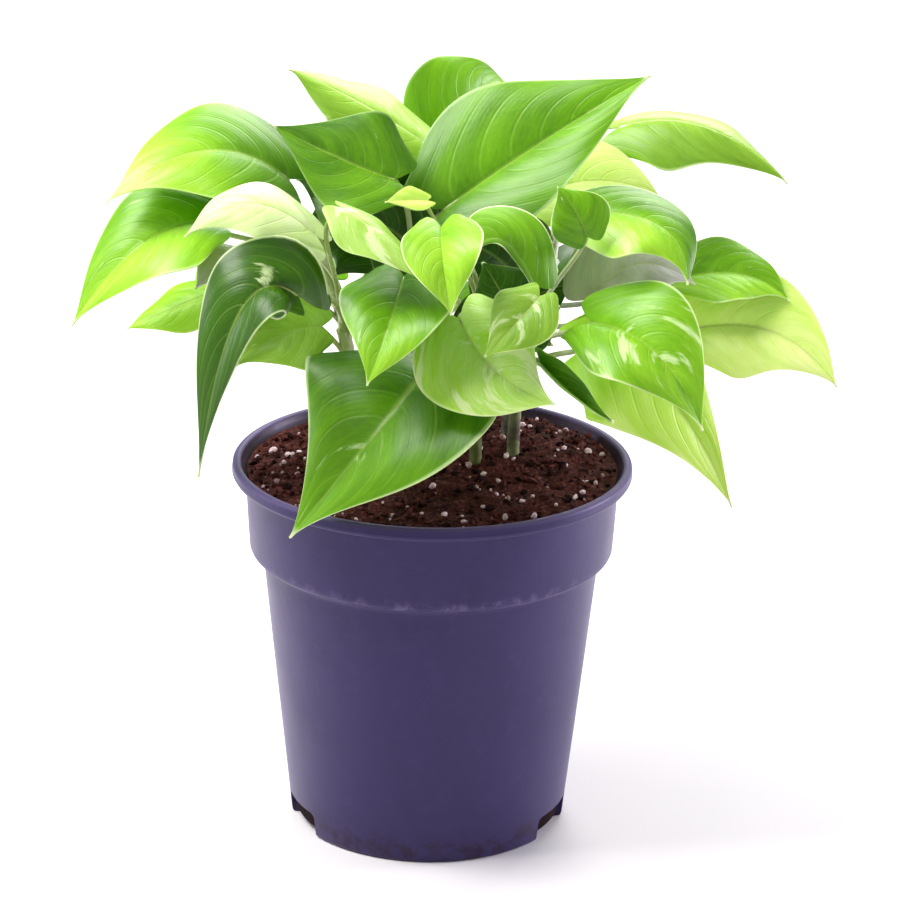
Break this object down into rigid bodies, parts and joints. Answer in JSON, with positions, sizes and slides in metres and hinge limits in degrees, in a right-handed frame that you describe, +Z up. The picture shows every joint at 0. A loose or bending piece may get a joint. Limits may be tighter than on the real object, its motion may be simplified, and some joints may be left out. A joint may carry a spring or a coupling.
{
  "type": "potted pothos plant",
  "caption": "Bushy pothos with arching heart-shaped leaves on rooted stems, growing in soil in a tapered plastic nursery pot with a rolled lip, a stepped collar and drain slots.",
  "frame": {"origin": "middle of the pot's underside, on the ground", "axes": "+Z up along the pot's axis, -Y the front of the plant, +X to its right"},
  "size_m": [0.2819, 0.2102, 0.2895],
  "materials": {
    "pot_plastic": "dark slate-violet moulded polypropylene, satin",
    "potting_soil": "moist dark brown potting mix with pale perlite grains",
    "green_stem": "smooth pale green stem and leaf stalks",
    "leaf_green": "waxy mid green blade with fine veins",
    "leaf_dark": "waxy dark green blade",
    "leaf_pale": "waxy pale green blade, variegated",
    "leaf_lime": "waxy lime yellow young blade"
  },
  "bodies": {
    "root": {"pot": "pot_plastic", "soil": "potting_soil", "stem_left_front": "green_stem", "stem_left_back": "green_stem", "stem_middle": "green_stem", "stem_back": "green_stem", "stem_front": "green_stem", "stem_right": "green_stem", "stem_right_back": "green_stem", "leaf_top_back": "leaf_green", "leaf_top_right": "leaf_green", "leaf_top_left": "leaf_pale", "leaf_left_upper": "leaf_green", "leaf_left_inner": "leaf_green", "leaf_left_shaded": "leaf_dark", "leaf_left_pale": "leaf_pale", "leaf_front_ribbon": "leaf_pale", "leaf_left_far": "leaf_green", "leaf_left_point": "leaf_lime", "leaf_left_small": "leaf_pale", "leaf_left_drooping": "leaf_dark", "leaf_left_under": "leaf_pale", "leaf_front_left": "leaf_green", "leaf_front_round": "leaf_green", "leaf_rim_drape": "leaf_green", "leaf_centre": "leaf_green", "leaf_young": "leaf_lime", "leaf_hood": "leaf_green", "leaf_hood_side": "leaf_green", "leaf_ragged": "leaf_pale", "leaf_right_folded": "leaf_green", "leaf_right_upper": "leaf_pale", "leaf_right_yellow": "leaf_lime", "leaf_right_far": "leaf_green", "leaf_right_outer": "leaf_lime", "leaf_front_right": "leaf_green", "leaf_front_right_low": "leaf_lime", "leaf_rolled": "leaf_dark", "leaf_inner_grey": "leaf_pale", "leaf_inner_dark": "leaf_dark", "leaf_inner_shade": "leaf_dark", "leaf_back_right": "leaf_green", "leaf_back_left": "leaf_green", "leaf_back_centre": "leaf_pale", "leaf_back_low_left": "leaf_green", "leaf_back_low_right": "leaf_dark", "leaf_back_low": "leaf_green"}
  },
  "joints": []
}
